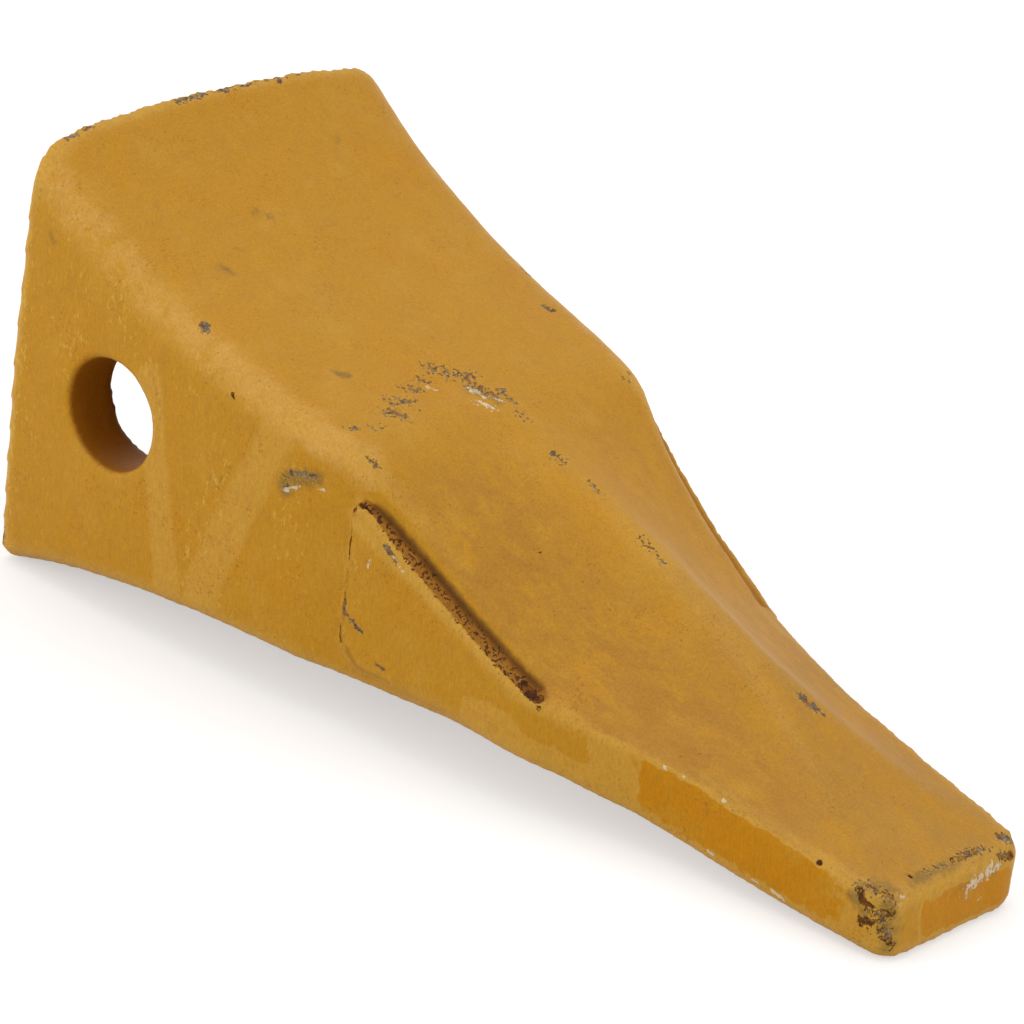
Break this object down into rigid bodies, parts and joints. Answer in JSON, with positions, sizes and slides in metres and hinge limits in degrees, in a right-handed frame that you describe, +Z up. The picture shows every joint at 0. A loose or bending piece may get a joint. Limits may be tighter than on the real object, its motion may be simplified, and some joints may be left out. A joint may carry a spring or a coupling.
{
  "type": "bucket tooth",
  "caption": "Cast steel bucket tooth with a tapered socket, a spine that spreads into a chisel tip, side pads with ledges, and pin bores through both sides.",
  "frame": {"origin": "middle of the foot of the box around the tooth as it lies at rest", "axes": "+X from the mouth of the socket towards the tip, +Y towards the far side, +Z up"},
  "size_m": [0.1742, 0.0764, 0.0771],
  "materials": {
    "painted_casting": "thin ochre paint over a cast skin, with a soft sheen, chips, rust in the pits and on the ledges, and dust"
  },
  "bodies": {
    "root": {"tooth": "painted_casting"}
  },
  "joints": []
}
